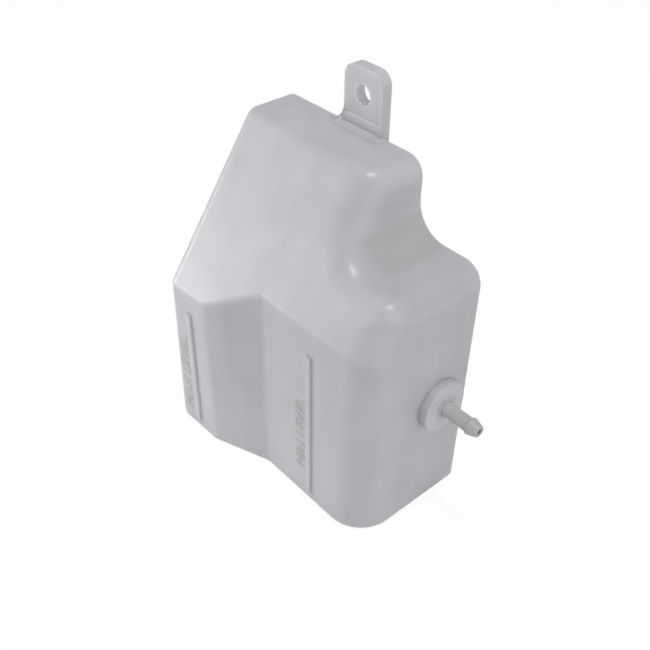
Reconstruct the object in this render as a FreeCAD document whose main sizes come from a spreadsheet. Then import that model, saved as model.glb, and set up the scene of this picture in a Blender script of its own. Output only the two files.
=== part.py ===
import FreeCAD, Part
import Sketcher
import os
from math import hypot

# Coolant expansion tank, lying as it stands for its picture: +Z up, +X to its right, +Y to its back.
# The origin is the middle of the base between the right flat and the back. Sizes are in millimetres.
# In the vehicle the tank is turned a quarter, with the filler on the left face uppermost.

doc = FreeCAD.newDocument("expansion_tank")
sheet = doc.addObject("Spreadsheet::Sheet", "Sizes")
row_count = 0


def size(alias, value):
    """Write one driving dimension into the sheet and give its value back."""
    global row_count
    row_count += 1
    cell = "A%d" % row_count
    sheet.set(cell, str(value))
    sheet.setAlias(cell, alias)
    return value


# Blow-moulded tank: a box with a sloping front, a stepped right shoulder and a proud left front.
tank_width = size("tank_width", 160.0)
tank_depth = size("tank_depth", 82.4)
tank_height = size("tank_height", 200.8)
wall = size("wall", 3.0)
outside = size("outside", 0.0)
left_lean = size("left_lean", 0.024)
right_lean = size("right_lean", 0.006)
back_lean = size("back_lean", 0.005)

# The slope starts at slope_foot on the right flat and runs back by slope_run for each mm of height.
slope_drop = size("slope_drop", 69.6)
slope_foot = size("slope_foot", tank_height - slope_drop)
block_foot = size("block_foot", 40.0)
slope_run = size("slope_run", 0.666)
slope_stretch = size("slope_stretch", hypot(1.0, slope_run))

# The shoulder: an upright wall at shoulder_x above a level ledge at ledge_height.
shoulder_width = size("shoulder_width", 46.0)
shoulder_drop = size("shoulder_drop", 42.9)
shoulder_x = size("shoulder_x", tank_width / 2 - shoulder_width)
ledge_height = size("ledge_height", tank_height - shoulder_drop)

# The left front stands proud of the right flat, and a slanting ramp joins the two.
proud = size("proud", 14.2)
proud_turn = size("proud_turn", 1.0)
ramp_start = size("ramp_start", 40.2)
ramp_end = size("ramp_end", 77.3)

# Roundings of the moulded form.
corner_low_round = size("corner_low_round", 23.5)
corner_high_round = size("corner_high_round", 17.8)
left_round = size("left_round", 10.1)
slope_foot_round = size("slope_foot_round", 6.4)
ramp_round = size("ramp_round", 12.0)
shoulder_hollow_round = size("shoulder_hollow_round", 18.6)
ledge_round = size("ledge_round", 13.5)
top_left_round = size("top_left_round", 5.5)
top_right_round = size("top_right_round", 12.5)
back_round = size("back_round", 5.2)
base_round = size("base_round", 3.0)
cavity_base_round = size("cavity_base_round", 1.0)

# Lengths that reach well past the tank, for cuts that run right through it.
margin = size("margin", 9.0)
reach = size("reach", 150.0)

# Mounting tab, flush with the back, with a band across its foot, a flare and a hole for a stud.
tab_width = size("tab_width", 28.6)
tab_thick = size("tab_thick", 7.0)
tab_rise = size("tab_rise", 36.0)
tab_centre_x = size("tab_centre_x", -9.5)
tab_round = size("tab_round", 8.0)
tab_hole_radius = size("tab_hole_radius", 5.7)
tab_hole_rise = size("tab_hole_rise", 20.9)
tab_band_proud = size("tab_band_proud", 1.0)
tab_band_rise = size("tab_band_rise", 8.2)
tab_band_round = size("tab_band_round", 0.8)
tab_left_flare = size("tab_left_flare", 5.0)
tab_root = size("tab_root", 8.0)

# Level ribs on the two flats.
rib_width = size("rib_width", 3.6)
rib_rise = size("rib_rise", 1.3)
rib_root = size("rib_root", 1.5)
right_rib_inset = size("right_rib_inset", 43.5)
right_rib_x = size("right_rib_x", tank_width / 2 - right_rib_inset)
right_rib_low = size("right_rib_low", 7.0)
right_rib_drop = size("right_rib_drop", 17.2)
right_rib_high = size("right_rib_high", slope_foot - right_rib_drop)
left_rib_inset = size("left_rib_inset", 24.1)
left_rib_x = size("left_rib_x", left_rib_inset - tank_width / 2)
left_rib_low = size("left_rib_low", 8.0)
left_rib_drop = size("left_rib_drop", 36.5)
left_rib_high = size("left_rib_high", slope_foot - left_rib_drop)

# Outlet: a round boss on the right face, and a hose barb whose spigot sits in the boss.
boss_y = size("boss_y", 15.3)
boss_z = size("boss_z", 77.6)
boss_radius = size("boss_radius", 15.5)
boss_rise = size("boss_rise", 6.4)
boss_face_x = size("boss_face_x", tank_width / 2 + boss_rise)
boss_edge_round = size("boss_edge_round", 0.8)
spigot_radius = size("spigot_radius", 6.0)
spigot_gap = size("spigot_gap", 0.05)
tube_radius = size("tube_radius", 4.35)
barb_radius = size("barb_radius", 5.15)
barb_tip_radius = size("barb_tip_radius", 3.4)
barb_bore_radius = size("barb_bore_radius", 1.7)
tube_run = size("tube_run", 17.6)
barb_run = size("barb_run", 24.6)
barb_shoulder_x = size("barb_shoulder_x", boss_face_x + tube_run)
barb_shoulder_run = size("barb_shoulder_run", 0.5)
barb_land = size("barb_land", 1.0)
barb_tip_x = size("barb_tip_x", boss_face_x + barb_run)

# Filler neck on the left face, its screw cap and the cap's flat seal.
neck_y = size("neck_y", 0.0)
neck_z = size("neck_z", 40.0)
neck_bore_radius = size("neck_bore_radius", 14.8)
neck_radius = size("neck_radius", 17.8)
neck_rise = size("neck_rise", 21.0)
neck_rim_x = size("neck_rim_x", -tank_width / 2 - neck_rise)
collar_radius = size("collar_radius", 21.0)
collar_rise = size("collar_rise", 2.5)
collar_face_x = size("collar_face_x", -tank_width / 2 - collar_rise)
seal_thick = size("seal_thick", 2.0)
seal_inner_radius = size("seal_inner_radius", 12.0)
cap_gap = size("cap_gap", 1.5)
cap_bore_radius = size("cap_bore_radius", 19.3)
cap_radius = size("cap_radius", 22.4)
cap_top_thick = size("cap_top_thick", 3.2)
cap_edge_round = size("cap_edge_round", 1.5)
grip_count = size("grip_count", 24)
grip_width = size("grip_width", 2.4)
grip_rise = size("grip_rise", 0.9)
doc.recompute()


def origin_plane(body, role):
    """Find one of a body's own origin planes."""
    return [feature for feature in body.Origin.OriginFeatures if feature.Role == role][0]


def flat_sketch(body, name, role, offset):
    """Make a sketch on an origin plane, moved along the plane's normal by an expression."""
    sketch = body.newObject("Sketcher::SketchObject", name)
    sketch.AttachmentSupport = [(origin_plane(body, role), "")]
    sketch.MapMode = "FlatFace"
    sketch.setExpression(".AttachmentOffset.Base.z", offset)
    return sketch


def polygon(sketch, corners):
    """Close a polygon through corners, each a pair of expressions that place it from the origin."""
    count = len(corners)
    guess = [FreeCAD.Vector(index, index * index, 0) for index in range(count)]
    for index in range(count):
        line = Part.LineSegment(guess[index], guess[(index + 1) % count])
        sketch.addGeometry(line, False)
    for index in range(count):
        sketch.addConstraint(Sketcher.Constraint("Coincident", index, 2, (index + 1) % count, 1))
    for index, corner in enumerate(corners):
        for kind, expression in zip(("DistanceX", "DistanceY"), corner):
            value = guess[index].x if kind == "DistanceX" else guess[index].y
            number = sketch.addConstraint(Sketcher.Constraint(kind, -1, 1, index, 1, value))
            sketch.setExpression("Constraints[%d]" % number, expression)


def pad(body, sketch, name, length):
    """Raise a sketch along its normal."""
    feature = body.newObject("PartDesign::Pad", name)
    feature.Profile = sketch
    feature.setExpression("Length", length)
    return feature


def pocket(body, sketch, name, length):
    """Cut a sketch against its normal."""
    feature = body.newObject("PartDesign::Pocket", name)
    feature.Profile = sketch
    feature.setExpression("Length", length)
    return feature


def round_edges(base, name, points, start, end=None):
    """Round the edges of base nearest to the points, from radius start to radius end."""
    doc.recompute()
    chosen = []
    for point in points:
        spot = Part.Vertex(FreeCAD.Vector(*point))
        distances = [edge.distToShape(spot)[0] for edge in base.Shape.Edges]
        number = distances.index(min(distances)) + 1
        if number not in chosen:
            chosen.append(number)
    fillet = doc.addObject("Part::Fillet", name)
    fillet.Base = base
    fillet.Edges = [(number, start, start if end is None else end) for number in chosen]
    doc.recompute()
    return fillet


def tank_form(name, inset):
    """The tank's sharp form, with every face moved inwards by one cell of the sheet."""
    body = doc.addObject("PartDesign::Body", name)
    cell = "Sizes." + inset
    back = "Sizes.tank_depth / 2 - " + cell
    flat = "-Sizes.tank_depth / 2 + " + cell
    left = "-Sizes.tank_width / 2 + " + cell
    right = "Sizes.tank_width / 2 - " + cell
    high = "Sizes.tank_height - " + cell
    ledge = "Sizes.ledge_height - " + cell
    slope_zero = "-Sizes.tank_depth / 2 + " + cell + " * Sizes.slope_stretch"
    slope_low = slope_zero + " + (Sizes.block_foot - Sizes.slope_foot) * Sizes.slope_run"
    slope_top = slope_zero + " + (" + high + " - Sizes.slope_foot) * Sizes.slope_run"

    # Side outline: base, back, top and slope.
    side = flat_sketch(body, name + "_side", "YZ_Plane", left)
    polygon(side, [
        (slope_low, cell),
        (back, cell),
        (back + " + Sizes.back_lean * (" + high + ")", high),
        (slope_top, high),
        (slope_low, "Sizes.block_foot")])
    pad(body, side, name + "_block", "Sizes.tank_width - 2 * " + cell + " + Sizes.margin")

    # Left face, which leans inwards as it rises.
    lean = flat_sketch(body, name + "_lean", "XZ_Plane", "Sizes.reach")
    polygon(lean, [
        (left, cell),
        (left + " + Sizes.left_lean * (" + high + ")", high),
        (left + " + Sizes.left_lean * (" + high + ")", high + " + Sizes.margin"),
        (left + " - Sizes.margin", high + " + Sizes.margin"),
        (left + " - Sizes.margin", cell)])
    pocket(body, lean, name + "_lean_cut", "2 * Sizes.reach")

    # Shoulder on the right, and the right face under it.
    shoulder = flat_sketch(body, name + "_shoulder", "XZ_Plane", "Sizes.reach")
    polygon(shoulder, [
        (right, cell),
        (right + " + Sizes.right_lean * (" + ledge + ")", ledge),
        ("Sizes.shoulder_x - " + cell, ledge),
        ("Sizes.shoulder_x - " + cell, high + " + Sizes.margin"),
        (right + " + 2 * Sizes.margin", high + " + Sizes.margin"),
        (right + " + 2 * Sizes.margin", cell)])
    pocket(body, shoulder, name + "_shoulder_cut", "2 * Sizes.reach")

    # Front, seen from above: left flat, ramp and right flat.
    front = flat_sketch(body, name + "_front", "XY_Plane", "2 * Sizes.reach")
    turned = flat + " - Sizes.proud - Sizes.proud_turn * (1 + Sizes.margin / Sizes.ramp_start)"
    polygon(front, [
        ("-Sizes.tank_width / 2 - Sizes.margin", turned),
        ("-Sizes.tank_width / 2 + Sizes.ramp_start", flat + " - Sizes.proud"),
        ("-Sizes.tank_width / 2 + Sizes.ramp_end", flat),
        ("Sizes.tank_width / 2 + 2 * Sizes.margin", flat),
        ("Sizes.tank_width / 2 + 2 * Sizes.margin", flat + " - Sizes.reach"),
        ("-Sizes.tank_width / 2 - Sizes.margin", flat + " - Sizes.reach")])
    pocket(body, front, name + "_front_cut", "3 * Sizes.reach")
    return body


def rounded_form(name, inset, depth):
    """The tank's form with all its roundings. depth is how far its faces lie inside the outer ones."""
    form = tank_form(name, inset)
    back = tank_depth / 2 - depth
    flat = -tank_depth / 2 + depth
    left = -tank_width / 2 + depth
    right = tank_width / 2 - depth
    ramp_foot = -tank_width / 2 + ramp_start
    ramp_head = -tank_width / 2 + ramp_end
    high = tank_height - depth
    ledge = ledge_height - depth
    half = ledge / 2
    slope_zero = -tank_depth / 2 + depth * slope_stretch
    foot = slope_foot + (flat - slope_zero) / slope_run
    foot_left = foot - proud / slope_run
    top_front = slope_zero + (high - slope_foot) * slope_run
    shoulder = shoulder_x - depth
    top_left = left + left_lean * high
    form = round_edges(form, name + "_hollow", [(shoulder, back / 2, ledge)],
                       shoulder_hollow_round + depth)
    form = round_edges(form, name + "_ledge", [(right, back / 2, ledge)], ledge_round - depth)
    feet = [(right / 2, flat, foot), ((left + ramp_foot) / 2, flat - proud, foot_left)]
    feet.append(((ramp_foot + ramp_head) / 2, flat - proud / 2, (foot + foot_left) / 2))
    form = round_edges(form, name + "_foot", feet, slope_foot_round - depth)
    ramp_points = [(ramp_foot, flat - proud, half), (ramp_head, flat, half)]
    form = round_edges(form, name + "_ramp", ramp_points, ramp_round - 2 * depth)
    form = round_edges(form, name + "_right", [(right, flat, half)],
                       corner_high_round - depth, corner_low_round - depth)
    form = round_edges(form, name + "_left", [(left, flat - proud - proud_turn, half)], left_round - depth)
    form = round_edges(form, name + "_top", [((top_left + shoulder) / 2, top_front, high)],
                       top_left_round - depth, top_right_round - depth)
    form = round_edges(form, name + "_back", [(right, back, half)], back_round - depth)
    form = round_edges(form, name + "_base", [(right / 2, flat, depth)],
                       max(base_round - depth, cavity_base_round))
    return form


def block(name, low, high):
    """A box between two corners, each three expressions."""
    box = doc.addObject("Part::Box", name)
    for side, start, end in zip(("Length", "Width", "Height"), low, high):
        box.setExpression(side, "(" + end + ") - (" + start + ")")
    for axis, start in zip("xyz", low):
        box.setExpression("Placement.Base." + axis, start)
    return box


def rod(name, along, radius, middle, length):
    """A cylinder of an expression's radius from a middle point, along +X or +Y."""
    cylinder = doc.addObject("Part::Cylinder", name)
    turn_axis = FreeCAD.Vector(0, 1, 0) if along == "X" else FreeCAD.Vector(-1, 0, 0)
    cylinder.Placement = FreeCAD.Placement(FreeCAD.Vector(0, 0, 0), FreeCAD.Rotation(turn_axis, 90))
    cylinder.setExpression("Radius", radius)
    cylinder.setExpression("Height", length)
    for axis, place in zip("xyz", middle):
        cylinder.setExpression("Placement.Base." + axis, place)
    return cylinder


def cut(name, base, tool):
    """One solid less another."""
    result = doc.addObject("Part::Cut", name)
    result.Base = base
    result.Tool = tool
    return result


def fuse(name, parts):
    """Several solids as one."""
    result = doc.addObject("Part::MultiFuse", name)
    result.Shapes = parts
    result.Refine = False
    return result


def turned(name, profile, middle):
    """A solid turned about an axis along X. profile holds pairs: place along the axis and radius."""
    body = doc.addObject("PartDesign::Body", name)
    sketch = flat_sketch(body, name + "_profile", "XZ_Plane", "0")
    polygon(sketch, profile)
    solid = body.newObject("PartDesign::Revolution", name + "_turned")
    solid.Profile = sketch
    solid.ReferenceAxis = (sketch, ["H_Axis"])
    solid.Angle = 360.0
    for axis, place in zip("yz", middle):
        body.setExpression("Placement.Base." + axis, place)
    return body


def make_tab():
    """The tab: a plate flush with the back, with a band and a flare at its foot and a hole through."""
    low_x = "Sizes.tab_centre_x - Sizes.tab_width / 2"
    high_x = "Sizes.tab_centre_x + Sizes.tab_width / 2"
    back = "Sizes.tank_depth / 2 + Sizes.back_lean * Sizes.tank_height"
    front = back + " - Sizes.tab_thick"
    top = "Sizes.tank_height + Sizes.tab_rise"
    root = "Sizes.tank_height - Sizes.tab_root"
    level = "Sizes.tank_height"
    plate = block("tab_plate", (low_x, front, root), (high_x, back, top))
    doc.recompute()
    left = tab_centre_x - tab_width / 2
    right = tab_centre_x + tab_width / 2
    middle_y = tank_depth / 2 + back_lean * tank_height - tab_thick / 2
    peak = tank_height + tab_rise
    plate = round_edges(plate, "tab_corners", [(left, middle_y, peak), (right, middle_y, peak)], tab_round)
    band = block("tab_band", (low_x, front + " - Sizes.tab_band_proud", root),
                 (high_x, front + " + Sizes.tab_thick / 2", level + " + Sizes.tab_band_rise"))
    doc.recompute()
    band_y = tank_depth / 2 + back_lean * tank_height - tab_thick - tab_band_proud
    band = round_edges(band, "tab_band_edge", [(tab_centre_x, band_y, tank_height + tab_band_rise)],
                       tab_band_round)
    left_foot = block("tab_left_foot", (low_x + " - Sizes.tab_left_flare", front, root),
                      (low_x, back + " - Sizes.back_round", level + " + Sizes.tab_left_flare"))
    left_centre = (low_x + " - Sizes.tab_left_flare",
                   front + " - Sizes.margin",
                   level + " + Sizes.tab_left_flare")
    left_hollow = rod("tab_left_hollow", "Y", "Sizes.tab_left_flare", left_centre,
                      "Sizes.tab_thick + 2 * Sizes.margin")
    left_flare = cut("tab_left_flare_solid", left_foot, left_hollow)
    solid = fuse("tab_solid", [plate, band, left_flare])
    hole = rod("tab_hole", "Y", "Sizes.tab_hole_radius",
               ("Sizes.tab_centre_x", front + " - Sizes.margin * 2", level + " + Sizes.tab_hole_rise"),
               "Sizes.tab_thick + 4 * Sizes.margin")
    return solid, hole


def make_ribs():
    """The two level ribs, one on each flat."""
    flat = "-Sizes.tank_depth / 2"
    left_flat = flat + " - Sizes.proud - Sizes.proud_turn / 2"
    right_rib = block(
        "right_rib",
        ("Sizes.right_rib_x - Sizes.rib_width / 2", flat + " - Sizes.rib_rise", "Sizes.right_rib_low"),
        ("Sizes.right_rib_x + Sizes.rib_width / 2", flat + " + Sizes.rib_root", "Sizes.right_rib_high"))
    left_rib = block(
        "left_rib",
        ("Sizes.left_rib_x - Sizes.rib_width / 2", left_flat + " - Sizes.rib_rise", "Sizes.left_rib_low"),
        ("Sizes.left_rib_x + Sizes.rib_width / 2", left_flat + " + Sizes.rib_root", "Sizes.left_rib_high"))
    return [right_rib, left_rib]


def make_boss():
    """The outlet boss, with the bore that takes the barb's spigot."""
    inner = "Sizes.tank_width / 2 - Sizes.wall / 2"
    middle = ("Sizes.boss_y", "Sizes.boss_z")
    boss = rod("boss_rod", "X", "Sizes.boss_radius", (inner,) + middle, "Sizes.boss_face_x - (" + inner + ")")
    doc.recompute()
    boss = round_edges(boss, "boss", [(boss_face_x, boss_y, boss_z + boss_radius)], boss_edge_round)
    bore = rod("boss_bore", "X", "Sizes.spigot_radius + Sizes.spigot_gap",
               ("Sizes.tank_width / 2 - Sizes.margin",) + middle, "3 * Sizes.margin")
    return boss, bore


def make_neck():
    """The filler neck with its foot collar, and its bore."""
    middle = ("Sizes.neck_y", "Sizes.neck_z")
    root = "-Sizes.tank_width / 2 + Sizes.wall / 2 + Sizes.left_lean * Sizes.neck_z"
    neck = rod("neck_tube", "X", "Sizes.neck_radius", ("Sizes.neck_rim_x",) + middle,
               root + " - Sizes.neck_rim_x")
    collar = rod("neck_collar", "X", "Sizes.collar_radius", ("Sizes.collar_face_x",) + middle,
                 root + " - Sizes.collar_face_x")
    bore = rod("neck_bore", "X", "Sizes.neck_bore_radius", ("Sizes.neck_rim_x - Sizes.margin",) + middle,
               "5 * Sizes.margin")
    return [neck, collar], bore


def make_tank():
    """The whole moulding: outer form and everything moulded on it, less the cavity and the holes."""
    outer = rounded_form("outer", "outside", outside)
    cavity = rounded_form("cavity", "wall", wall)
    tab, tab_hole = make_tab()
    boss, boss_bore = make_boss()
    necks, neck_bore = make_neck()
    solid = fuse("moulding", [outer, tab, boss] + make_ribs() + necks)
    hollow = cut("moulding_hollow", solid, cavity)
    holes = fuse("moulding_holes", [tab_hole, boss_bore, neck_bore])
    return cut("tank_shell", hollow, holes)


def make_barb():
    """The hose fitting: spigot, tube and barb, bored through."""
    bore = "Sizes.barb_bore_radius"
    land = "Sizes.barb_shoulder_x + Sizes.barb_shoulder_run"
    return turned("outlet_barb", [
        ("Sizes.tank_width / 2 - Sizes.wall", bore),
        ("Sizes.tank_width / 2 - Sizes.wall", "Sizes.spigot_radius"),
        ("Sizes.boss_face_x", "Sizes.spigot_radius"),
        ("Sizes.boss_face_x", "Sizes.tube_radius"),
        ("Sizes.barb_shoulder_x", "Sizes.tube_radius"),
        (land, "Sizes.barb_radius"),
        (land + " + Sizes.barb_land", "Sizes.barb_radius"),
        ("Sizes.barb_tip_x", "Sizes.barb_tip_radius"),
        ("Sizes.barb_tip_x", bore)], ("Sizes.boss_y", "Sizes.boss_z"))


def make_seal():
    """The flat seal between the neck's rim and the cap."""
    face = "Sizes.neck_rim_x - Sizes.seal_thick"
    return turned("cap_seal", [
        (face, "Sizes.seal_inner_radius"),
        (face, "Sizes.neck_radius"),
        ("Sizes.neck_rim_x", "Sizes.neck_radius"),
        ("Sizes.neck_rim_x", "Sizes.seal_inner_radius")], ("Sizes.neck_y", "Sizes.neck_z"))


def make_cap():
    """The screw cap: a cup over the neck with grips around it."""
    mouth = "Sizes.collar_face_x - Sizes.cap_gap"
    inside = "Sizes.neck_rim_x - Sizes.seal_thick"
    top = inside + " - Sizes.cap_top_thick"
    bevel = "Sizes.cap_edge_round"
    cup = turned("cap_cup", [
        (top, "0"),
        (top, "Sizes.cap_radius - " + bevel),
        (top + " + " + bevel, "Sizes.cap_radius"),
        (mouth, "Sizes.cap_radius"),
        (mouth, "Sizes.cap_bore_radius"),
        (inside, "Sizes.cap_bore_radius"),
        (inside, "0")], ("Sizes.neck_y", "Sizes.neck_z"))
    grips = []
    for index in range(int(grip_count)):
        turn = 360.0 * index / grip_count
        grip = doc.addObject("Part::Box", "grip_%02d" % index)
        grip.setExpression("Length", "(" + mouth + ") - (" + top + " + 2 * " + bevel + ")")
        grip.setExpression("Width", "Sizes.grip_width")
        grip.setExpression("Height", "Sizes.cap_radius + Sizes.grip_rise - Sizes.cap_bore_radius"
                           " - Sizes.cap_gap / 2")
        placement = FreeCAD.Placement(FreeCAD.Vector(0, -grip_width / 2, cap_bore_radius + cap_gap / 2),
                                      FreeCAD.Rotation())
        about_x = FreeCAD.Rotation(FreeCAD.Vector(1, 0, 0), turn)
        turning = FreeCAD.Placement(FreeCAD.Vector(0, neck_y, neck_z), about_x)
        grip.Placement = turning.multiply(placement)
        grip.setExpression("Placement.Base.x", top + " + 2 * " + bevel)
        grips.append(grip)
    return fuse("filler_cap", [cup] + grips)


pieces = [make_tank(), make_barb(), make_seal(), make_cap()]
doc.recompute()

for item in doc.Objects:
    if "Invalid" in item.State or "Error" in item.State:
        raise RuntimeError("%s is %s" % (item.Name, item.State))

os.makedirs("parts", exist_ok=True)
for piece in pieces:
    piece.Label = piece.Name
    shape = piece.Shape
    if shape.isNull() or not shape.isValid() or len(shape.Solids) != 1:
        raise RuntimeError("%s is not one valid solid" % piece.Name)
    shape.exportStep("parts/%s.step" % piece.Label)
    print(piece.Label, round(shape.Volume / 1000.0, 2), "cm3", len(shape.Faces), "faces")
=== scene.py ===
# %% [markdown]
# # A coolant expansion tank
#
# The real tank is blow moulded: a soft tube of natural polyethylene is blown into a cold mould, so
# every face is flat or gently curved, every edge is round, and the finish is milky, satin and a
# little uneven. The load-bearing forms come from the construction model. This lesson dresses them
# with finishes, and adds a weld bead, threads, the hollow rounding round the tab's foot and the
# raised level words.

# %% Load the construction model
import bmesh
import bpy
import math
import numpy as np
from mathutils import Matrix, Vector


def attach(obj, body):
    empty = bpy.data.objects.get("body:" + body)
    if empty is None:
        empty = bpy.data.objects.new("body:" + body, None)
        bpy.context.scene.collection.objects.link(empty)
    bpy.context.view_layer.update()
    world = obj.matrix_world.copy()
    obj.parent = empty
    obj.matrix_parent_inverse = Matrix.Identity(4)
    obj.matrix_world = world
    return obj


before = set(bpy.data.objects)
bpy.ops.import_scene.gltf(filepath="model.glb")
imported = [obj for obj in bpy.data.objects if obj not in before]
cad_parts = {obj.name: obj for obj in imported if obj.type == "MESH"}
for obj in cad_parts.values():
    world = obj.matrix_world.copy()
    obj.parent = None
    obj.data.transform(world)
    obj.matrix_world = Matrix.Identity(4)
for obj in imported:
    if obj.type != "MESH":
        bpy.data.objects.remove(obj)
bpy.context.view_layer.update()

MM = 0.001

# %% [markdown]
# ## The camera
#
# A product photograph is taken from above one corner. The place, the turn and the lens were found
# by fitting the tank's straight edges, so the camera is written as a place, three angles and a
# focal length. A camera looks along its own -Z, so its matrix has the right, the up and the
# backwards direction as columns.

# %% Camera at the photograph's viewpoint
CAMERA_PLACE = Vector((303.0, -267.4, 415.8)) * MM
CAMERA_AZIMUTH = math.radians(48.303)
CAMERA_ELEVATION = math.radians(38.755)
CAMERA_ROLL = math.radians(0.784)
FOCAL_LENGTH = 48.655
SENSOR_WIDTH = 36.0
NEAREST_SEEN = 0.01


def make_camera():
    """Puts a camera at CAMERA_PLACE: forward is the azimuth turned about +Z and tipped down."""
    flat = math.cos(CAMERA_ELEVATION)
    forward = Vector((-math.sin(CAMERA_AZIMUTH) * flat, math.cos(CAMERA_AZIMUTH) * flat,
                      -math.sin(CAMERA_ELEVATION)))
    level = Vector((math.cos(CAMERA_AZIMUTH), math.sin(CAMERA_AZIMUTH), 0.0))
    upright = level.cross(forward)
    right = level * math.cos(CAMERA_ROLL) + upright * math.sin(CAMERA_ROLL)
    up = upright * math.cos(CAMERA_ROLL) - level * math.sin(CAMERA_ROLL)
    data = bpy.data.cameras.new("camera")
    data.sensor_width = SENSOR_WIDTH
    data.lens = FOCAL_LENGTH
    data.clip_start = NEAREST_SEEN
    camera = bpy.data.objects.new("camera", data)
    turn = Matrix((right, up, -forward)).transposed().to_4x4()
    camera.matrix_world = Matrix.Translation(CAMERA_PLACE) @ turn
    bpy.context.scene.collection.objects.link(camera)
    bpy.context.scene.camera = camera


make_camera()
print("camera at", [round(v, 3) for v in CAMERA_PLACE])

# %% [markdown]
# ## Shared finish effects
#
# Moulded plastic is never one even colour. The melt leaves faint clouds and drawn-out lines, and
# the blasted mould leaves a fine grain. Each effect is a node group that puts out a mask or a
# height, and each material decides what to do with it. A few helpers make the groups' sockets and
# their noise.


# %% Node helpers
def group_input(group, name, default):
    """Adds a float input with a default to a node group."""
    socket = group.interface.new_socket(name=name, in_out="INPUT", socket_type="NodeSocketFloat")
    socket.default_value = default


def new_group(name, inputs, outputs):
    """Starts a node group with float inputs and float outputs, and gives its two end nodes."""
    group = bpy.data.node_groups.new(name, "ShaderNodeTree")
    for label, default in inputs:
        group_input(group, label, default)
    for label in outputs:
        group.interface.new_socket(name=label, in_out="OUTPUT", socket_type="NodeSocketFloat")
    return group, group.nodes.new("NodeGroupInput"), group.nodes.new("NodeGroupOutput")


def noise_node(nodes, links, scale, detail, vector):
    """A noise texture whose scale is a socket or a number."""
    noise = nodes.new("ShaderNodeTexNoise")
    noise.inputs["Detail"].default_value = detail
    if isinstance(scale, (int, float)):
        noise.inputs["Scale"].default_value = scale
    else:
        links.new(scale, noise.inputs["Scale"])
    links.new(vector, noise.inputs["Vector"])
    return noise


# %% [markdown]
# ### Clouds
#
# Where the melt cooled a little sooner or later, the wall is a shade lighter or darker. Two sizes
# of noise, mostly the broad one, give a drift that doesn't repeat.

# %% Melt clouds
BROAD_DETAIL = 3.0
FINER_DETAIL = 2.0
FINER_TIMES = 4.7
FINER_SHARE = 0.3


def make_cloud_group():
    """Clouds: broad noise and noise FINER_TIMES as fine, blended by FINER_SHARE, about a half."""
    group, start, end = new_group("melt_clouds", [("Size", 12.0)], ["Cloud"])
    nodes, links = group.nodes, group.links
    place = nodes.new("ShaderNodeTexCoord")
    broad = noise_node(nodes, links, start.outputs["Size"], BROAD_DETAIL, place.outputs["Object"])
    finer = nodes.new("ShaderNodeMath")
    finer.operation = "MULTIPLY"
    finer.inputs[1].default_value = FINER_TIMES
    links.new(start.outputs["Size"], finer.inputs[0])
    small = noise_node(nodes, links, finer.outputs[0], FINER_DETAIL, place.outputs["Object"])
    blend = nodes.new("ShaderNodeMix")
    blend.inputs["Factor"].default_value = FINER_SHARE
    links.new(broad.outputs["Fac"], blend.inputs["A"])
    links.new(small.outputs["Fac"], blend.inputs["B"])
    links.new(blend.outputs["Result"], end.inputs["Cloud"])
    return group


MELT_CLOUDS = make_cloud_group()
print("node group", MELT_CLOUDS.name)

# %% [markdown]
# ### Die lines
#
# The soft tube hangs from its die before the mould closes on it, and the die's edge leaves faint
# lines down its length. Noise whose height is squeezed is drawn out along +Z in the same way.

# %% Die lines
STREAK_DETAIL = 1.0


def make_streak_group():
    """Die lines: noise at (x, y, Draw z), so that a small Draw draws it out along +Z."""
    group, start, end = new_group("die_lines", [("Size", 60.0), ("Draw", 0.12)], ["Streak"])
    nodes, links = group.nodes, group.links
    place = nodes.new("ShaderNodeTexCoord")
    parts = nodes.new("ShaderNodeSeparateXYZ")
    links.new(place.outputs["Object"], parts.inputs["Vector"])
    drawn = nodes.new("ShaderNodeMath")
    drawn.operation = "MULTIPLY"
    links.new(parts.outputs["Z"], drawn.inputs[0])
    links.new(start.outputs["Draw"], drawn.inputs[1])
    joined = nodes.new("ShaderNodeCombineXYZ")
    links.new(parts.outputs["X"], joined.inputs["X"])
    links.new(parts.outputs["Y"], joined.inputs["Y"])
    links.new(drawn.outputs[0], joined.inputs["Z"])
    lines = noise_node(nodes, links, start.outputs["Size"], STREAK_DETAIL, joined.outputs["Vector"])
    links.new(lines.outputs["Fac"], end.inputs["Streak"])
    return group


DIE_LINES = make_streak_group()
print("node group", DIE_LINES.name)

# %% [markdown]
# ### Painted patch of light or shade
#
# A box with soft sides, placed in the object's space, marks a patch where shade or light is
# painted into the wall's colour.

# %% Painted patch of light or shade
PATCH_FULL = 0.65
PATCH_GONE = 1.25


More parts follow.
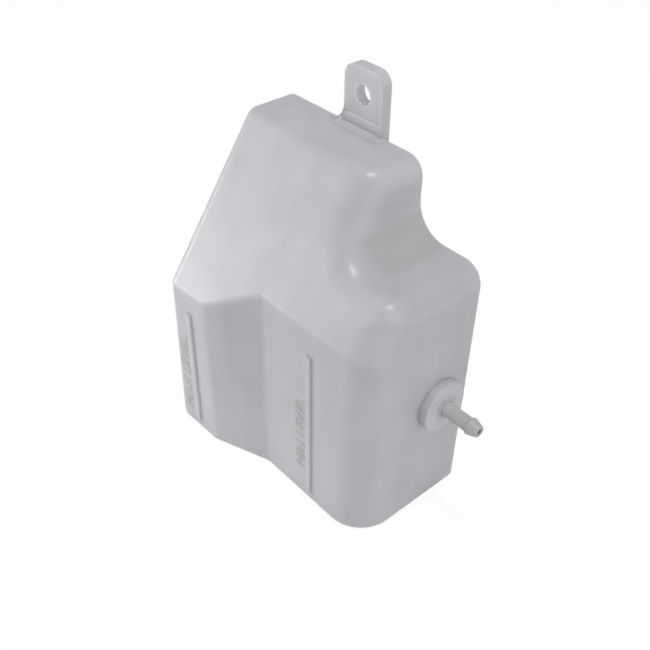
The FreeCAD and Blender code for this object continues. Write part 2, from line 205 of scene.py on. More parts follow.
def make_painted_patch_group():
    """Painted light or shade: one inside a box of object space, falling to nothing over its edge.

    On each axis the distance from the middle, as a share of the half size, fades from one at
    PATCH_FULL to nothing at PATCH_GONE, and the three are multiplied.
    """
    names = [("Middle X", 0.0), ("Middle Y", 0.0), ("Middle Z", 0.0),
             ("Half X", 0.01), ("Half Y", 0.01), ("Half Z", 0.01)]
    group, start, end = new_group("painted_shading_patch", names, ["Mask"])
    nodes, links = group.nodes, group.links
    place = nodes.new("ShaderNodeTexCoord")
    parts = nodes.new("ShaderNodeSeparateXYZ")
    links.new(place.outputs["Object"], parts.inputs["Vector"])
    masks = []
    for axis in "XYZ":
        away = nodes.new("ShaderNodeMath")
        away.operation = "SUBTRACT"
        links.new(parts.outputs[axis], away.inputs[0])
        links.new(start.outputs["Middle " + axis], away.inputs[1])
        share = nodes.new("ShaderNodeMath")
        share.operation = "DIVIDE"
        links.new(away.outputs[0], share.inputs[0])
        links.new(start.outputs["Half " + axis], share.inputs[1])
        size = nodes.new("ShaderNodeMath")
        size.operation = "ABSOLUTE"
        links.new(share.outputs[0], size.inputs[0])
        fade = nodes.new("ShaderNodeMapRange")
        fade.interpolation_type = "SMOOTHSTEP"
        fade.inputs["From Min"].default_value = PATCH_FULL
        fade.inputs["From Max"].default_value = PATCH_GONE
        fade.inputs["To Min"].default_value = 1.0
        fade.inputs["To Max"].default_value = 0.0
        links.new(size.outputs[0], fade.inputs["Value"])
        masks.append(fade.outputs["Result"])
    first = nodes.new("ShaderNodeMath")
    first.operation = "MULTIPLY"
    links.new(masks[0], first.inputs[0])
    links.new(masks[1], first.inputs[1])
    second = nodes.new("ShaderNodeMath")
    second.operation = "MULTIPLY"
    links.new(first.outputs[0], second.inputs[0])
    links.new(masks[2], second.inputs[1])
    links.new(second.outputs[0], end.inputs["Mask"])
    return group


PAINTED_SHADING_PATCH = make_painted_patch_group()
print("node group", PAINTED_SHADING_PATCH.name)

# %% [markdown]
# ### Round bands
# ### Painted round band
# The edge of a round feature, such as the boss or the tab's hole, is painted darker or lighter
# than the face beside it, as painted shade or painted light. A band between two radii about the
# feature's own axis marks it.


# %% Painted round band
def make_painted_band_group():
    """A round band of painted light or shade: one where the distance from an axis lies between
    two radii, with soft edges.

    Flatten is a vector with a zero along the axis, so that only the other two places count. What
    it takes away is the place along the axis, which has to lie within Reach of Middle.
    """
    radii = [("Inner", 0.01), ("Outer", 0.02), ("Edge", 0.0005), ("Reach", 0.01)]
    group, start, end = new_group("painted_shading_band", radii, ["Mask"])
    group.interface.new_socket(name="Middle", in_out="INPUT", socket_type="NodeSocketVector")
    group.interface.new_socket(name="Flatten", in_out="INPUT", socket_type="NodeSocketVector")
    nodes, links = group.nodes, group.links
    place = nodes.new("ShaderNodeTexCoord")
    away = nodes.new("ShaderNodeVectorMath")
    away.operation = "SUBTRACT"
    links.new(place.outputs["Object"], away.inputs[0])
    links.new(start.outputs["Middle"], away.inputs[1])
    across = nodes.new("ShaderNodeVectorMath")
    across.operation = "MULTIPLY"
    links.new(away.outputs["Vector"], across.inputs[0])
    links.new(start.outputs["Flatten"], across.inputs[1])
    distance = nodes.new("ShaderNodeVectorMath")
    distance.operation = "LENGTH"
    links.new(across.outputs["Vector"], distance.inputs[0])
    least = nodes.new("ShaderNodeMath")
    least.operation = "SUBTRACT"
    links.new(start.outputs["Inner"], least.inputs[0])
    links.new(start.outputs["Edge"], least.inputs[1])
    most = nodes.new("ShaderNodeMath")
    most.operation = "ADD"
    links.new(start.outputs["Outer"], most.inputs[0])
    links.new(start.outputs["Edge"], most.inputs[1])
    rise = nodes.new("ShaderNodeMapRange")
    rise.interpolation_type = "SMOOTHSTEP"
    links.new(distance.outputs["Value"], rise.inputs["Value"])
    links.new(least.outputs[0], rise.inputs["From Min"])
    links.new(start.outputs["Inner"], rise.inputs["From Max"])
    fall = nodes.new("ShaderNodeMapRange")
    fall.interpolation_type = "SMOOTHSTEP"
    fall.inputs["To Min"].default_value = 1.0
    fall.inputs["To Max"].default_value = 0.0
    links.new(distance.outputs["Value"], fall.inputs["Value"])
    links.new(start.outputs["Outer"], fall.inputs["From Min"])
    links.new(most.outputs[0], fall.inputs["From Max"])
    both = nodes.new("ShaderNodeMath")
    both.operation = "MULTIPLY"
    links.new(rise.outputs["Result"], both.inputs[0])
    links.new(fall.outputs["Result"], both.inputs[1])
    along = nodes.new("ShaderNodeVectorMath")
    along.operation = "SUBTRACT"
    links.new(away.outputs["Vector"], along.inputs[0])
    links.new(across.outputs["Vector"], along.inputs[1])
    depth = nodes.new("ShaderNodeVectorMath")
    depth.operation = "LENGTH"
    links.new(along.outputs["Vector"], depth.inputs[0])
    near = nodes.new("ShaderNodeMath")
    near.operation = "LESS_THAN"
    links.new(depth.outputs["Value"], near.inputs[0])
    links.new(start.outputs["Reach"], near.inputs[1])
    mask = nodes.new("ShaderNodeMath")
    mask.operation = "MULTIPLY"
    links.new(both.outputs[0], mask.inputs[0])
    links.new(near.outputs[0], mask.inputs[1])
    links.new(mask.outputs[0], end.inputs["Mask"])
    return group


PAINTED_SHADING_BAND = make_painted_band_group()
print("node group", PAINTED_SHADING_BAND.name)

# %% [markdown]
# ### Grain
#
# The mould is blasted so that air can leave it, and the plastic takes on that fine grain. Under it
# lies the slow waviness of a blown wall. Both are heights, for a bump.

# %% Mould grain
GRAIN_DETAIL = 2.0
WAVE_DETAIL = 1.0


def make_grain_group():
    """Grain: fine noise as a height, blended with a slow waviness by Wave share."""
    group, start, end = new_group("mould_grain", [("Grain size", 900.0), ("Wave size", 14.0),
                                                  ("Wave share", 0.8)], ["Height"])
    nodes, links = group.nodes, group.links
    place = nodes.new("ShaderNodeTexCoord")
    fine = noise_node(nodes, links, start.outputs["Grain size"], GRAIN_DETAIL, place.outputs["Object"])
    wave = noise_node(nodes, links, start.outputs["Wave size"], WAVE_DETAIL, place.outputs["Object"])
    blend = nodes.new("ShaderNodeMix")
    links.new(start.outputs["Wave share"], blend.inputs["Factor"])
    links.new(fine.outputs["Fac"], blend.inputs["A"])
    links.new(wave.outputs["Fac"], blend.inputs["B"])
    links.new(blend.outputs["Result"], end.inputs["Height"])
    return group


MOULD_GRAIN = make_grain_group()
print("node groups", [group.name for group in bpy.data.node_groups])

# %% [markdown]
# ## Moulded plastic
#
# One function makes every moulded finish, because they differ only in colour, gloss and how much
# light they let in. The colour drifts between two near shades, the roughness drifts with it, and a
# bump carries the grain. Light that enters milky polyethylene comes out a few millimetres away,
# which subsurface scattering gives.

# %% Moulded plastic material
RAMP_START = 0.3
RAMP_END = 0.7
DRIFT_START = 0.2
DRIFT_END = 0.8
BUMP_DEPTH = 0.0006
PLASTIC_IOR = 1.5
SCATTER_REACH = (1.0, 1.0, 1.1)
# A Mix node's colour sockets share their names with its other sockets, so they go by number.
MIX_FIRST = 6
MIX_SECOND = 7
MIX_RESULT = 2


def moulded(name, dark, light, rough, rough_drift, cloud_size, grain_size, bump, depth=0.0,
            scatter=0.0, streak=0.0, painted_patches=(), painted_bands=()):
    """A plastic whose colour runs from dark to light with the clouds, with grain as a bump.

    streak is the share of the colour that follows the die lines. Each painted patch is a middle,
    three half sizes and a shade, and each painted band a middle, a flattening, two radii, a reach
    and a shade. Inside them the colour is multiplied by the shade: painted light where the shade is
    above one, painted shade where it is below.
    """
    material = bpy.data.materials.new(name)
    material.use_nodes = True
    nodes, links = material.node_tree.nodes, material.node_tree.links
    shader = nodes["Principled BSDF"]
    clouds = nodes.new("ShaderNodeGroup")
    clouds.node_tree = MELT_CLOUDS
    clouds.inputs["Size"].default_value = cloud_size
    ramp = nodes.new("ShaderNodeValToRGB")
    ramp.color_ramp.elements[0].position = RAMP_START
    ramp.color_ramp.elements[1].position = RAMP_END
    ramp.color_ramp.elements[0].color = (*dark, 1.0)
    ramp.color_ramp.elements[1].color = (*light, 1.0)
    lines = nodes.new("ShaderNodeGroup")
    lines.node_tree = DIE_LINES
    blend = nodes.new("ShaderNodeMix")
    blend.inputs["Factor"].default_value = streak
    links.new(clouds.outputs["Cloud"], blend.inputs["A"])
    links.new(lines.outputs["Streak"], blend.inputs["B"])
    links.new(blend.outputs["Result"], ramp.inputs["Fac"])
    masks = []
    for middle, flatten, inner, outer, reach, shade in painted_bands:
        band = nodes.new("ShaderNodeGroup")
        band.node_tree = PAINTED_SHADING_BAND
        band.inputs["Middle"].default_value = middle
        band.inputs["Flatten"].default_value = flatten
        band.inputs["Inner"].default_value = inner
        band.inputs["Outer"].default_value = outer
        band.inputs["Reach"].default_value = reach
        masks.append((band.outputs["Mask"], shade))
    for middle, half, shade in painted_patches:
        patch = nodes.new("ShaderNodeGroup")
        patch.node_tree = PAINTED_SHADING_PATCH
        for axis, place, reach in zip("XYZ", middle, half):
            patch.inputs["Middle " + axis].default_value = place
            patch.inputs["Half " + axis].default_value = reach
        masks.append((patch.outputs["Mask"], shade))
    colour = ramp.outputs["Color"]
    # Each mask multiplies painted light or painted shade into the colour.
    for mask, shade in masks:
        tint = nodes.new("ShaderNodeMix")
        tint.data_type = "RGBA"
        tint.blend_type = "MULTIPLY"
        links.new(mask, tint.inputs["Factor"])
        links.new(colour, tint.inputs[MIX_FIRST])
        tint.inputs[MIX_SECOND].default_value = (*shade, 1.0)
        colour = tint.outputs[MIX_RESULT]
    links.new(colour, shader.inputs["Base Color"])
    drift = nodes.new("ShaderNodeMapRange")
    drift.inputs["From Min"].default_value = DRIFT_START
    drift.inputs["From Max"].default_value = DRIFT_END
    drift.inputs["To Min"].default_value = rough - rough_drift
    drift.inputs["To Max"].default_value = rough + rough_drift
    links.new(clouds.outputs["Cloud"], drift.inputs["Value"])
    links.new(drift.outputs["Result"], shader.inputs["Roughness"])
    grain = nodes.new("ShaderNodeGroup")
    grain.node_tree = MOULD_GRAIN
    grain.inputs["Grain size"].default_value = grain_size
    relief = nodes.new("ShaderNodeBump")
    relief.inputs["Strength"].default_value = bump
    relief.inputs["Distance"].default_value = BUMP_DEPTH
    links.new(grain.outputs["Height"], relief.inputs["Height"])
    links.new(relief.outputs["Normal"], shader.inputs["Normal"])
    shader.inputs["IOR"].default_value = PLASTIC_IOR
    if scatter > 0.0:
        shader.inputs["Subsurface Weight"].default_value = scatter
        shader.inputs["Subsurface Radius"].default_value = SCATTER_REACH
        shader.inputs["Subsurface Scale"].default_value = depth
    return material


# %% [markdown]
# ## The four finishes
#
# The tank is natural milky polyethylene, the fitting a greyer and harder plastic, the cap black
# with a matt surface, and the seal rubber. The tank's wall also gets painted shade and painted
# light: painted shade on the ramp, in the shoulder's hollow and on the ledge, and painted light on
# the proud front and the boss. Two rings paint shade on the boss's edge and light on the edge of
# the tab's hole.

# %% The tank's painted light and shade
# Painted shade on the ramp, the shoulder's hollow and the ledge; painted light on the left front and
# the boss's face.
RAMP_PAINTED_SHADE = ((-0.015, -0.047, 0.087), (0.0125, 0.020, 0.030), (0.96, 0.96, 0.96))
HOLLOW_PAINTED_SHADE = ((0.036, 0.020, 0.160), (0.020, 0.026, 0.011), (0.86, 0.86, 0.845))
LEDGE_PAINTED_SHADE = ((0.068, 0.012, 0.158), (0.018, 0.030, 0.008), (0.94, 0.94, 0.94))
LEFT_PAINTED_LIGHT = ((-0.066, -0.0565, 0.062), (0.026, 0.010, 0.062), (1.08, 1.08, 1.08))
BOSS_PAINTED_LIGHT = ((0.0864, 0.0153, 0.0776), (0.004, 0.020, 0.020), (1.12, 1.12, 1.12))
# Painted shade on the boss's edge and painted light on the edge of the tab's hole, in rings about
# their axes.
BOSS_EDGE_PAINTED_SHADE = ((0.0830, 0.0153, 0.0776), (0.0, 1.0, 1.0), 0.0149, 0.0158, 0.006, (0.86, 0.86, 0.86))
HOLE_EDGE_PAINTED_LIGHT = ((-0.0095, 0.0387, 0.2217), (1.0, 0.0, 1.0), 0.0052, 0.0057, 0.006, (1.25, 1.25, 1.25))
TANK_PAINTED_PATCHES = (RAMP_PAINTED_SHADE, HOLLOW_PAINTED_SHADE, LEDGE_PAINTED_SHADE, LEFT_PAINTED_LIGHT, BOSS_PAINTED_LIGHT)
TANK_PAINTED_BANDS = (BOSS_EDGE_PAINTED_SHADE, HOLE_EDGE_PAINTED_LIGHT)
print("shades in the tank's wall", len(TANK_PAINTED_PATCHES) + len(TANK_PAINTED_BANDS))

# %% The finishes
TANK_FINISH = moulded("milky_polyethylene", dark=(0.560, 0.568, 0.594), light=(0.664, 0.671, 0.696),
                      rough=0.335, rough_drift=0.04, cloud_size=11.0, grain_size=1100.0, bump=0.25,
                      depth=0.005, scatter=0.45, streak=0.35, painted_patches=TANK_PAINTED_PATCHES, painted_bands=TANK_PAINTED_BANDS)
FITTING_FINISH = moulded("grey_fitting", dark=(0.50, 0.502, 0.515), light=(0.57, 0.572, 0.585),
                         rough=0.38, rough_drift=0.05, cloud_size=40.0, grain_size=1600.0, bump=0.2,
                         depth=0.002, scatter=0.15)
CAP_FINISH = moulded("black_cap", dark=(0.018, 0.018, 0.019), light=(0.034, 0.034, 0.036),
                     rough=0.42, rough_drift=0.06, cloud_size=45.0, grain_size=1500.0, bump=0.35)
SEAL_FINISH = moulded("seal_rubber", dark=(0.012, 0.012, 0.012), light=(0.024, 0.024, 0.024),
                      rough=0.72, rough_drift=0.08, cloud_size=60.0, grain_size=2200.0, bump=0.5)
for finish in (TANK_FINISH, FITTING_FINISH, CAP_FINISH, SEAL_FINISH):
    print("finish", finish.name)


# %% Dress the construction model
def dress(node, material):
    """Gives a construction node's object one material in every slot."""
    mesh_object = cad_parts[node]
    if not mesh_object.material_slots:
        mesh_object.data.materials.append(material)
    for place in mesh_object.material_slots:
        place.material = material


for node, material in (("tank_shell", TANK_FINISH), ("outlet_barb", FITTING_FINISH),
                       ("filler_cap", CAP_FINISH), ("cap_seal", SEAL_FINISH)):
    dress(node, material)
    print(node, "wears", material.name)

# %% [markdown]
# ## A ring from a profile
#
# The weld bead and the threads are all one shape: a small closed profile carried round an axis
# along X, with an advance for each turn. A ring advances by nothing and a thread by its pitch, so
# one function makes both. It works out the whole grid of points at once.

# %% Profile carried round an X axis
FULL_TURN = 2 * math.pi
CLOSE_ENOUGH = 1e-9
ROOT_SHARE = 0.02
DOUBLED = 0.000002


def sweep_round_x(name, profile, centre, start, end, steps, pitch=0.0, taper=0.0, inward=False):
    """Carries profile, rows of (x, radius), round the X line through centre = (y, z).

    A point is (x + pitch * turns, y + r cos a, z + r sin a), where a runs from start to end and
    turns is a over a full circle. With a taper, r goes down to ROOT_SHARE of its height over the
    root within that angle of either end, so that a thread runs out: the root is the least radius,
    or the greatest on an inward thread. A full circle with no pitch is closed on itself.
    """
    rows = np.asarray(profile, float)
    closed = abs(end - start - FULL_TURN) < CLOSE_ENOUGH and pitch == 0.0
    angles = np.linspace(start, end, steps, endpoint=not closed)
    swell = np.ones_like(angles)
    if taper > 0.0:
        swell = np.clip(np.minimum(angles - start, end - angles) / taper, 0.0, 1.0)
    root = rows[:, 1].max() if inward else rows[:, 1].min()
    rest = ROOT_SHARE + (1.0 - ROOT_SHARE) * swell[:, None]
    radius = root + (rows[None, :, 1] - root) * rest
    along = rows[None, :, 0] + pitch * angles[:, None] / FULL_TURN
    points = np.stack([along, centre[0] + radius * np.cos(angles)[:, None],
                       centre[1] + radius * np.sin(angles)[:, None]], axis=-1)
    count = len(rows)
    ring = np.arange(len(angles) if closed else len(angles) - 1)
    here = ring[:, None] * count + np.arange(count)[None, :]
    beside = ring[:, None] * count + np.roll(np.arange(count), -1)[None, :]
    onward = ((ring + 1) % len(angles))[:, None] * count
    next_here = onward + np.arange(count)[None, :]
    next_beside = onward + np.roll(np.arange(count), -1)[None, :]
    faces = np.stack([here, beside, next_beside, next_here], axis=-1).reshape(-1, 4).tolist()
    if not closed:
        faces.append(list(range(count))[::-1])
        last = (len(angles) - 1) * count
        faces.append(list(range(last, last + count)))
    mesh = bpy.data.meshes.new(name)
    mesh.from_pydata((points.reshape(-1, 3)).tolist(), [], faces)
    mesh.validate()
    mesh.shade_smooth()
    piece = bpy.data.objects.new(name, mesh)
    bpy.context.scene.collection.objects.link(piece)
    return piece


def outward(piece):
    """Joins a closed piece's doubled corners and turns every face outwards."""
    work = bmesh.new()
    work.from_mesh(piece.data)
    bmesh.ops.remove_doubles(work, verts=work.verts, dist=DOUBLED)
    bmesh.ops.recalc_face_normals(work, faces=work.faces)
    work.to_mesh(piece.data)
    work.free()


# %% [markdown]
# ## The weld bead at the hose fitting
#
# The fitting is spun into the boss until the plastic melts, and a small rounded bead is left where
# its tube meets the face. It is half a circle in section, carried once round the tube.

# %% Weld bead round the tube
BOSS_CENTRE = (0.0153, 0.0776)
BOSS_FACE_X = 0.0864
TUBE_RADIUS = 0.00435
BEAD_RADIUS = 0.0009
BEAD_SINK = 0.0001
BEAD_STAND = 0.0006
BEAD_POINTS = 9
STEPS_PER_TURN = 72

bend = np.linspace(0.0, math.pi, BEAD_POINTS)
bead_profile = np.stack([BOSS_FACE_X - BEAD_SINK + BEAD_RADIUS * np.sin(bend),
                         TUBE_RADIUS + BEAD_STAND + BEAD_RADIUS * np.cos(bend)], axis=-1)
weld_bead = sweep_round_x("weld_bead", bead_profile, BOSS_CENTRE, 0.0, FULL_TURN, STEPS_PER_TURN)
outward(weld_bead)
weld_bead.data.materials.append(FITTING_FINISH)
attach(weld_bead, "tank")
print("weld bead", len(weld_bead.data.polygons), "faces")

# %% [markdown]
# ## The threads on the filler neck and in the cap
#
# The cap screws on a coarse thread. Each thread is a trapezium in section that climbs a pitch for
# each turn and runs out at both ends. The cap's thread is the same helix half a pitch on, with its
# crest turned inwards, so the two never touch while the cap turns and lifts.

# %% Neck thread
NECK_CENTRE = (0.0, 0.040)
NECK_RADIUS = 0.0178
NECK_RIM_X = -0.101
THREAD_PITCH = 0.004
THREAD_TURNS = 2.5
THREAD_HEIGHT = 0.0011
THREAD_SINK = 0.0003
THREAD_INSET = 0.0030
THREAD_RUN_OUT = 0.6
HALF_FOOT = 0.0011
HALF_CREST = 0.0005

neck_profile = [(-HALF_FOOT, NECK_RADIUS - THREAD_SINK), (-HALF_CREST, NECK_RADIUS + THREAD_HEIGHT),
                (HALF_CREST, NECK_RADIUS + THREAD_HEIGHT), (HALF_FOOT, NECK_RADIUS - THREAD_SINK)]
thread_start = NECK_RIM_X + THREAD_INSET
shifted = [(thread_start + x, radius) for x, radius in neck_profile]
neck_thread = sweep_round_x("neck_thread", shifted, NECK_CENTRE, 0.0, THREAD_TURNS * FULL_TURN,
                            int(THREAD_TURNS * STEPS_PER_TURN), pitch=THREAD_PITCH,
                            taper=THREAD_RUN_OUT)
outward(neck_thread)
neck_thread.data.materials.append(TANK_FINISH)
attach(neck_thread, "tank")
print("neck thread", len(neck_thread.data.polygons), "faces")

# %% Cap thread
CAP_BORE_RADIUS = 0.0193
CAP_THREAD_TURNS = 2.0

cap_profile = [(-HALF_FOOT, CAP_BORE_RADIUS + THREAD_SINK),
               (-HALF_CREST, CAP_BORE_RADIUS - THREAD_HEIGHT),
               (HALF_CREST, CAP_BORE_RADIUS - THREAD_HEIGHT),
               (HALF_FOOT, CAP_BORE_RADIUS + THREAD_SINK)]
shifted = [(thread_start + THREAD_PITCH / 2 + x, radius) for x, radius in cap_profile]
cap_thread = sweep_round_x("cap_thread", shifted, NECK_CENTRE, 0.0, CAP_THREAD_TURNS * FULL_TURN,
                           int(CAP_THREAD_TURNS * STEPS_PER_TURN), pitch=THREAD_PITCH,
                           taper=THREAD_RUN_OUT, inward=True)
outward(cap_thread)
cap_thread.data.materials.append(CAP_FINISH)
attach(cap_thread, "cap")
print("cap thread", len(cap_thread.data.polygons), "faces")

# %% [markdown]
# ## The hollow rounding at the tab's foot
#
# Melt flows into the corner between the tab and the tank's top, so the foot is a hollow rounding:
# wide on the left, small in front and on the right. One grid makes it. Its rows go round the foot
# and its columns go down the hollow quarter circle. Three more columns close it inside the tab and
# under the top's surface.

# %% Sizes of the tab's foot
TAB_LEFT = -0.0238
TAB_RIGHT = 0.0048
TAB_BACK = 0.04215
BAND_FRONT = 0.0342
TOP_LEVEL = 0.2008
BACK_ROUND = 0.0052
PLATE_FRONT = 0.03525
FOOT_LEFT = 0.0120
FOOT_CORNER = 0.0082
FOOT_FRONT = 0.0032
FOOT_RIGHT = 0.0024
FOOT_RIGHT_LOSS = 0.9
FOOT_SINK = 0.0027


def top_height(y):
    """Height of the tank's top at y: level, and over the last BACK_ROUND a circle that falls."""
    into = np.clip(y - (TAB_BACK - BACK_ROUND), 0.0, BACK_ROUND)
    return TOP_LEVEL - BACK_ROUND + np.sqrt(BACK_ROUND ** 2 - into ** 2)


print("top falls by", round(TOP_LEVEL - float(top_height(TAB_BACK)), 5), "at the back")


# %% The way round the foot
def foot_path(count):
    """Rows of (x, y, outward x, outward y, radius) round the foot, from the left back.

    Along a side the outward direction stays. At a front corner the place stays and the direction
    turns by a quarter, while the radius runs from one side's to the next. The left radius grows by
    what the top falls, so the hollow meets the tab at one level there, and steps down at the
    plate's front to the band's height. The right radius loses FOOT_RIGHT_LOSS of itself by the
    back. Rows stand closer together towards the back, where the top falls most.
    """
    share = np.linspace(0.0, 1.0, count)[:, None]
    still = np.zeros_like(share)
    ones = np.ones_like(share)
    quarter = share * math.pi / 2
    left_y = TAB_BACK + (PLATE_FRONT - TAB_BACK) * (1.0 - np.cos(quarter))
    right_y = BAND_FRONT + (TAB_BACK - BAND_FRONT) * np.sin(quarter)
    left = np.hstack([TAB_LEFT * ones, left_y, -ones, still,
                      FOOT_LEFT + TOP_LEVEL - top_height(left_y)])
    step = np.array([[TAB_LEFT, PLATE_FRONT, -1.0, 0.0, FOOT_CORNER]])
    corner = np.hstack([TAB_LEFT * ones, BAND_FRONT * ones, -np.cos(quarter), -np.sin(quarter),
                        FOOT_CORNER + (FOOT_FRONT - FOOT_CORNER) * share])
    front = np.hstack([TAB_LEFT + (TAB_RIGHT - TAB_LEFT) * share, BAND_FRONT * ones, still, -ones,
                       FOOT_FRONT * ones])
    turn = np.hstack([TAB_RIGHT * ones, BAND_FRONT * ones, np.sin(quarter), -np.cos(quarter),
                      FOOT_FRONT + (FOOT_RIGHT - FOOT_FRONT) * share])
    right = np.hstack([TAB_RIGHT * ones, right_y, ones, still,
                       FOOT_RIGHT * (1.0 - FOOT_RIGHT_LOSS * share)])
    return np.vstack([left, step, corner, front[1:], turn[1:], right[1:]])


# %% Hollow rounding round the foot
STRETCH_ROWS = 15
HOLLOW_COLUMNS = 13
SHARP_ANGLE = math.radians(40.0)


def make_foot_rounding():
    """The hollow rounding as one closed mesh.

    With r the row's radius, a point of the hollow stands r (1 - sin t) outside the foot and
    r (1 - cos t) above the top, for t from a quarter circle down to nothing.
    """
    path = foot_path(STRETCH_ROWS)
    bend = np.linspace(math.pi / 2, 0.0, HOLLOW_COLUMNS)
    away = np.concatenate([1.0 - np.sin(bend), [1.0]])
    rise = np.concatenate([1.0 - np.cos(bend), [0.0]])
    radius = path[:, 4:5]
    out = radius * away[None, :]
    out = np.hstack([-FOOT_SINK * np.ones_like(radius), out, -FOOT_SINK * np.ones_like(radius)])
    up = radius * rise[None, :]
    up = np.hstack([radius, up, np.zeros_like(radius)])
    x = path[:, 0:1] + path[:, 2:3] * out
    y = path[:, 1:2] + path[:, 3:4] * out
    z = top_height(y) + up
    z[:, -2:] -= FOOT_SINK
    rows, columns = x.shape
    here = (np.arange(rows - 1)[:, None] * columns + np.arange(columns)[None, :]).ravel()
    beside = (np.arange(rows - 1)[:, None] * columns
              + np.roll(np.arange(columns), -1)[None, :]).ravel()
    faces = np.stack([here, beside, beside + columns, here + columns], axis=-1).tolist()
    faces.append(list(range(columns))[::-1])
    faces.append(list(range((rows - 1) * columns, rows * columns)))
    mesh = bpy.data.meshes.new("tab_foot_rounding")
    mesh.from_pydata(np.stack([x, y, z], axis=-1).reshape(-1, 3).tolist(), [], faces)
    mesh.validate()
    mesh.shade_smooth()
    piece = bpy.data.objects.new("tab_foot_rounding", mesh)
    bpy.context.scene.collection.objects.link(piece)
    outward(piece)
    mesh.set_sharp_from_angle(angle=SHARP_ANGLE)
    piece.data.materials.append(TANK_FINISH)
    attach(piece, "tank")
    return piece


foot_rounding = make_foot_rounding()
print("foot rounding", len(foot_rounding.data.polygons), "faces")

# %% [markdown]
# ## The level marks
#
# Raised marks beside the two ribs say how full the tank may be. The tank stands on its side here,
# so the marks read from the base upwards. Words are made as flat text, given a thickness and a
# round edge, turned into a mesh and then put in place point by point, so that the object itself
# stays at the origin. The ribs themselves belong to the construction model.

# %% Raised words
LETTER_RISE = 0.00032
LETTER_ROUND = 0.00020
LETTER_ROUND_STEPS = 2
CAPITAL_SHARE = 0.72


def raised_word(name, words, height, middle, turn):
    """A word of raised letters on a front flat, read upwards.

    The text lies in its own plane with x along the line and y up the letters. Here x becomes +Z,
    y becomes -X and the letters' thickness stands out along -Y, then all is turned about +Z by
    turn and moved to middle.
    """
    curve = bpy.data.curves.new(name, "FONT")
    curve.body = words
    curve.size = height / CAPITAL_SHARE
    curve.extrude = LETTER_RISE - LETTER_ROUND
    curve.bevel_depth = LETTER_ROUND
    curve.bevel_resolution = LETTER_ROUND_STEPS
    curve.align_x = "CENTER"
    curve.align_y = "CENTER"
    carrier = bpy.data.objects.new(name + "_text", curve)
    bpy.context.scene.collection.objects.link(carrier)
    bpy.context.view_layer.update()
    shaped = carrier.evaluated_get(bpy.context.evaluated_depsgraph_get())
    mesh = bpy.data.meshes.new_from_object(shaped)
    bpy.data.objects.remove(carrier)
    mesh.name = name
    count = len(mesh.vertices)
    flat = np.empty(count * 3)
    mesh.vertices.foreach_get("co", flat)
    flat = flat.reshape(-1, 3)
    stood = np.stack([-flat[:, 1], -flat[:, 2], flat[:, 0]], axis=-1)
    cos_turn, sin_turn = math.cos(turn), math.sin(turn)
    placed = np.stack([stood[:, 0] * cos_turn - stood[:, 1] * sin_turn,
                       stood[:, 0] * sin_turn + stood[:, 1] * cos_turn, stood[:, 2]], axis=-1)
    placed = placed + np.asarray(middle)
    mesh.vertices.foreach_set("co", placed.reshape(-1))
    mesh.update()
    piece = bpy.data.objects.new(name, mesh)
    bpy.context.scene.collection.objects.link(piece)
    outward(piece)
    piece.data.materials.clear()
    piece.data.materials.append(TANK_FINISH)
    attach(piece, "tank")
    return piece


# %% Words beside the ribs
LETTER_HEIGHT = 0.0086
RIGHT_FLAT_Y = -0.0412
LEFT_FLAT_Y = -0.0559
LEFT_FLAT_RUN = 40.2
LEFT_FLAT_TURN = math.atan2(1.0, LEFT_FLAT_RUN)
LOW_WORD_MIDDLE = (0.0297, RIGHT_FLAT_Y, 0.0510)
HIGH_WORD_MIDDLE = (-0.0650, LEFT_FLAT_Y, 0.0430)

low_word = raised_word("low_level_word", "MIN LEVEL", LETTER_HEIGHT, LOW_WORD_MIDDLE, 0.0)
high_word = raised_word("high_level_word", "MAX LEVEL", LETTER_HEIGHT, HIGH_WORD_MIDDLE,
                        LEFT_FLAT_TURN)
print("letters", [len(word.data.polygons) for word in (low_word, high_word)])

# %% [markdown]
# ## The floor
#
# The floor is a plain white sheet that still takes a soft shadow: the camera sees mostly its own
# white, and the rest is lit as any surface. It lies a hair below the base, so the two don't
# share a plane.

# %% Floor
FLOOR_HALF = 3.0
FLOOR_BELOW = 0.0002
FLOOR_COLOUR = (0.9, 0.9, 0.9, 1.0)
FLOOR_ROUGH = 0.9
FLOOR_GLOW = 0.82
GLOW_STRENGTH = 1.09


def make_floor():
    """A flat square under the object, white to the camera, with a faint shadow."""
    mesh = bpy.data.meshes.new("floor")
    corners = [(-FLOOR_HALF, -FLOOR_HALF, 0.0), (FLOOR_HALF, -FLOOR_HALF, 0.0),
               (FLOOR_HALF, FLOOR_HALF, 0.0), (-FLOOR_HALF, FLOOR_HALF, 0.0)]
    mesh.from_pydata([(x, y, z - FLOOR_BELOW) for x, y, z in corners], [], [(0, 1, 2, 3)])
    floor = bpy.data.objects.new("floor", mesh)
    bpy.context.scene.collection.objects.link(floor)
    material = bpy.data.materials.new("white_sheet")
    material.use_nodes = True
    nodes, links = material.node_tree.nodes, material.node_tree.links
    shader = nodes["Principled BSDF"]
    shader.inputs["Base Color"].default_value = FLOOR_COLOUR
    shader.inputs["Roughness"].default_value = FLOOR_ROUGH
    glow = nodes.new("ShaderNodeEmission")
    glow.inputs["Strength"].default_value = GLOW_STRENGTH
    path = nodes.new("ShaderNodeLightPath")
    share = nodes.new("ShaderNodeMath")
    share.operation = "MULTIPLY"
    share.inputs[1].default_value = FLOOR_GLOW
    links.new(path.outputs["Is Camera Ray"], share.inputs[0])
    mix = nodes.new("ShaderNodeMixShader")
    links.new(share.outputs[0], mix.inputs["Fac"])
    links.new(shader.outputs["BSDF"], mix.inputs[1])
    links.new(glow.outputs["Emission"], mix.inputs[2])
    links.new(mix.outputs["Shader"], nodes["Material Output"].inputs["Surface"])
    mesh.materials.append(material)


make_floor()
print("floor half width", FLOOR_HALF)

# %% [markdown]
# ## The light
#
# A soft light at the front left makes the sloping front the brightest face, and a weaker one from
# the right keeps the right side from going dark. A small lamp overhead gives the short glints on
# the roundings. The world fills the rest, a little less from above, as in a light tent.

# %% Lamps
TANK_MIDDLE = (0.0, 0.0, 0.10)


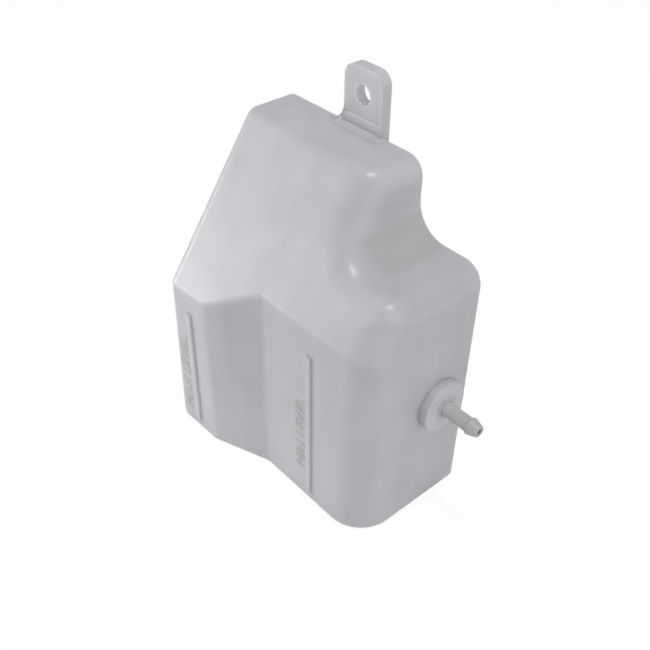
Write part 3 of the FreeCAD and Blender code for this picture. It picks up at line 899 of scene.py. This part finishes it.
def soft_light(name, place, aim, width, power):
    """A square area light at place that faces aim."""
    data = bpy.data.lights.new(name, "AREA")
    data.size = width
    data.energy = power
    lamp = bpy.data.objects.new(name, data)
    lamp.location = place
    lamp.rotation_euler = (Vector(aim) - Vector(place)).to_track_quat("-Z", "Y").to_euler()
    bpy.context.scene.collection.objects.link(lamp)


soft_light("left_light", (-0.67, -0.50, 0.06), TANK_MIDDLE, width=0.5, power=4.2)
soft_light("right_light", (1.2, -0.2, 0.6), TANK_MIDDLE, width=0.9, power=2.4)
soft_light("top_light", (0.14, 0.0, 1.10), TANK_MIDDLE, width=0.06, power=2.5)

# %% World
HORIZON_LEVEL = 0.54
OVERHEAD_LEVEL = 0.375
WHITE = (1.0, 1.0, 1.0, 1.0)


def make_world(level, overhead):
    """A world that lights the object softly and is white to the camera.

    Its strength falls from level at the horizon to overhead straight above, as in a light tent.
    """
    world = bpy.data.worlds.new("studio")
    world.use_nodes = True
    nodes, links = world.node_tree.nodes, world.node_tree.links
    even = nodes["Background"]
    even.inputs["Color"].default_value = WHITE
    place = nodes.new("ShaderNodeTexCoord")
    parts = nodes.new("ShaderNodeSeparateXYZ")
    links.new(place.outputs["Generated"], parts.inputs["Vector"])
    fall = nodes.new("ShaderNodeMapRange")
    fall.inputs["To Min"].default_value = level
    fall.inputs["To Max"].default_value = overhead
    links.new(parts.outputs["Z"], fall.inputs["Value"])
    links.new(fall.outputs["Result"], even.inputs["Strength"])
    white = nodes.new("ShaderNodeBackground")
    white.inputs["Color"].default_value = WHITE
    white.inputs["Strength"].default_value = 1.0
    path = nodes.new("ShaderNodeLightPath")
    mix = nodes.new("ShaderNodeMixShader")
    links.new(path.outputs["Is Camera Ray"], mix.inputs["Fac"])
    links.new(even.outputs["Background"], mix.inputs[1])
    links.new(white.outputs["Background"], mix.inputs[2])
    links.new(mix.outputs["Shader"], nodes["World Output"].inputs["Surface"])
    bpy.context.scene.world = world


make_world(HORIZON_LEVEL, OVERHEAD_LEVEL)
bpy.context.scene.view_settings.view_transform = "Standard"
print("world", HORIZON_LEVEL, "at the horizon,", OVERHEAD_LEVEL, "overhead")
